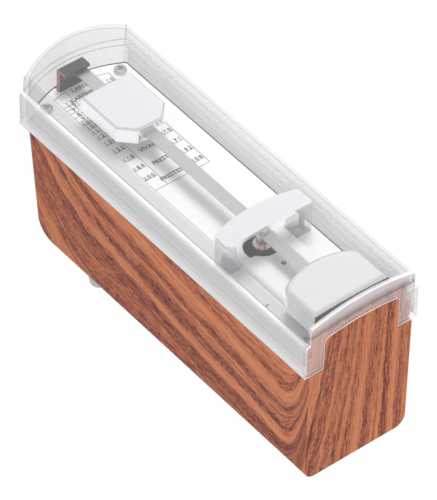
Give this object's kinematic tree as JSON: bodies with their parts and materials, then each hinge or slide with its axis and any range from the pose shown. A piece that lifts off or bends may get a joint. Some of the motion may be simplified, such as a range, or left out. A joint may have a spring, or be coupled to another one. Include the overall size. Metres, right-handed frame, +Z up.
{
  "type": "metronome",
  "caption": "Wind-up tower metronome with an arched wood-grain case, clear front cover, printed tempo scale, and a pendulum with a sliding weight.",
  "frame": {"origin": "centre of the base's resting face", "axes": "+Z up along the tower, -Y to the front with the scale and pendulum, +X to the right of the scale seen from the front"},
  "size_m": [0.0436, 0.0799, 0.1465],
  "materials": {
    "wood_case": "satin, brown wood grain",
    "clear_plastic": "clear, polished",
    "white_plate": "satin white, printed in grey",
    "bright_chrome": "polished",
    "bright_alloy": "polished and plated",
    "rod_steel": "brushed",
    "screw_steel": "bright zinc",
    "dark_plastic": "gloss",
    "brass": "machined",
    "spring_steel": "blued",
    "grey_key": "satin"
  },
  "bodies": {
    "root": {"case_shell": "wood_case", "scale_plate": "white_plate", "plate_screws": "screw_steel", "name_bridge": "bright_chrome", "bridge_screws": "screw_steel", "pendulum_clip": "dark_plastic", "front_frame_plate": "brass", "back_frame_plate": "brass", "frame_pillars": "brass", "pillar_screws": "screw_steel", "frame_screws": "screw_steel", "front_bushes": "brass", "back_bushes": "brass", "click": "rod_steel", "click_screw": "screw_steel", "click_spring": "spring_steel"},
    "cover": {"clear_cover": "clear_plastic"},
    "pendulum": {"pendulum_rod": "rod_steel", "counterweight": "bright_chrome", "counterweight_screw": "screw_steel", "pendulum_hub": "brass", "pendulum_arbor": "rod_steel", "pallets": "brass"},
    "weight": {"sliding_weight": "bright_alloy", "weight_spring": "spring_steel"},
    "key": {"winding_key": "grey_key", "barrel_arbor": "rod_steel", "ratchet_wheel": "rod_steel"},
    "barrel": {"barrel_drum": "brass", "barrel_cap": "brass", "mainspring": "spring_steel"},
    "second": {"second_arbor": "rod_steel", "second_wheel": "brass"},
    "escape": {"escape_arbor": "rod_steel", "escape_wheel": "brass"}
  },
  "joints": [
    {"name": "cover_slide", "type": "slide", "parent": "root", "child": "cover", "axis": [0, -1, 0], "range_m": [0, 0.045]},
    {"name": "pendulum_swing", "type": "hinge", "parent": "root", "child": "pendulum", "pos_m": [0, -0.0258, 0.0472], "axis": [0, 1, 0], "range_deg": [-5.5, 5.5]},
    {"name": "weight_slide", "type": "slide", "parent": "pendulum", "child": "weight", "axis": [0, 0, 1], "range_m": [-0.048, 0.008]},
    {"name": "key_wind", "type": "hinge", "parent": "root", "child": "key", "pos_m": [0, 0.032, 0.108], "axis": [0, 1, 0], "range_deg": [-1890, 0]},
    {"name": "barrel_spin", "type": "hinge", "parent": "root", "child": "barrel", "pos_m": [0, 0.003, 0.108], "axis": [0, 1, 0], "continuous": true},
    {"name": "second_spin", "type": "hinge", "parent": "root", "child": "second", "pos_m": [0, 0, 0.0888], "axis": [0, 1, 0], "continuous": true},
    {"name": "escape_spin", "type": "hinge", "parent": "root", "child": "escape", "pos_m": [0, 0, 0.0708], "axis": [0, 1, 0], "continuous": true}
  ],
  "couplings": [
    {"joint": "second_spin", "follows": "barrel_spin", "ratio": -4.3333},
    {"joint": "escape_spin", "follows": "barrel_spin", "ratio": 21.667}
  ]
}
